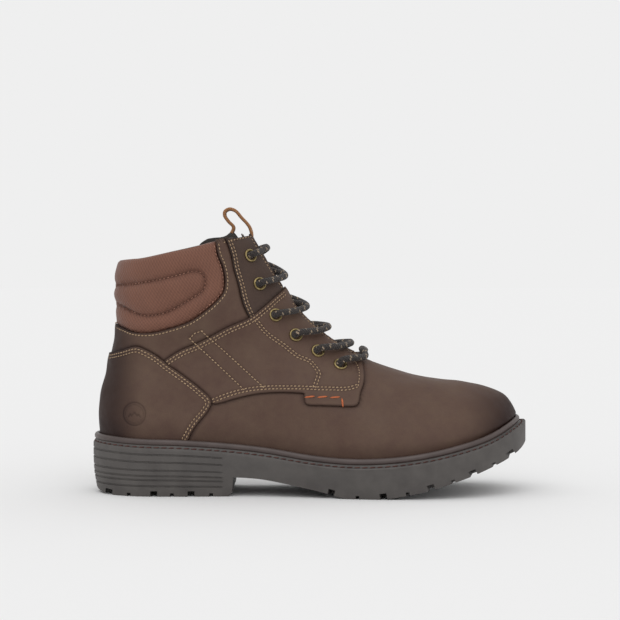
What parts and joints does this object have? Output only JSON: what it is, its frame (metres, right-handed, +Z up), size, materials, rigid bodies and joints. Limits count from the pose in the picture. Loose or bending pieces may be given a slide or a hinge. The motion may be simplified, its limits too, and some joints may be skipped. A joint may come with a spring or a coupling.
{
  "type": "lace-up boot",
  "caption": "Insulated lace-up ankle boot for the right foot, with padded collar, brass eyelets, pull loop and lugged rubber sole with a block heel.",
  "frame": {"origin": "middle of the boot's box, without its lace, at the level of the heel's underside", "axes": "+X towards the toe, +Y towards the inner (medial) side of this right boot, +Z up"},
  "size_m": [0.3096, 0.1142, 0.2018],
  "materials": {
    "leather": "pull-up leather, brushed",
    "dark_leather": "pull-up leather, brushed dark",
    "collar_nylon": "woven nylon",
    "black_textile": "textile",
    "foam": "open-cell foam",
    "felt": "insulating felt",
    "lining_textile": "knitted lining",
    "fibre_board": "pressed fibre board",
    "thermoplastic": "moulded sheet",
    "sole_rubber": "moulded, matt",
    "welt_rubber": "moulded, satin",
    "steel": "rolled strip",
    "brass": "antique",
    "lace_yarn": "braided",
    "tan_webbing": "woven webbing",
    "aglet_plastic": "moulded"
  },
  "bodies": {
    "boot": {"outsole": "sole_rubber", "storm_welt": "welt_rubber", "insole_board": "fibre_board", "shank": "steel", "bottom_filler": "foam", "collar_foam": "foam", "insulation": "felt", "vamp": "leather", "counter_cover": "leather", "quarter_lateral": "leather", "quarter_medial": "leather", "ankle_panel_lateral": "leather", "ankle_panel_medial": "leather", "upper_facing_lateral": "dark_leather", "upper_facing_medial": "dark_leather", "collar_cover": "collar_nylon", "collar_binding": "black_textile", "toe_puff": "thermoplastic", "heel_stiffener": "thermoplastic", "eyestay_backing_lateral": "lining_textile", "eyestay_backing_medial": "lining_textile", "vamp_lining": "lining_textile", "shaft_lining": "lining_textile", "eyelet_lateral_1": "brass", "eyelet_lateral_2": "brass", "eyelet_lateral_3": "brass", "eyelet_lateral_4": "brass", "eyelet_lateral_5": "brass", "eyelet_lateral_6": "brass", "eyelet_medial_1": "brass", "eyelet_medial_2": "brass", "eyelet_medial_3": "brass", "eyelet_medial_4": "brass", "eyelet_medial_5": "brass", "eyelet_medial_6": "brass", "lace": "lace_yarn", "aglet_lateral": "aglet_plastic", "aglet_medial": "aglet_plastic"},
    "tongue": {"tongue_face": "black_textile", "tongue_padding": "foam", "tongue_lining": "lining_textile", "pull_loop": "tan_webbing"},
    "footbed": {"footbed_foam": "foam", "footbed_cover": "felt"}
  },
  "joints": [
    {"name": "tongue_fold", "type": "hinge", "parent": "boot", "child": "tongue", "pos_m": [0.04, 0.0006, 0.084], "axis": [0, -1, 0], "range_deg": [0, 8], "stiffness_Nm_per_rad": 0.8, "springref_deg": -1.15},
    {"name": "footbed_lift", "type": "hinge", "parent": "boot", "child": "footbed", "pos_m": [0.135, 0.0006, 0.0485], "axis": [0, 1, 0], "range_deg": [0, 2.4]}
  ]
}
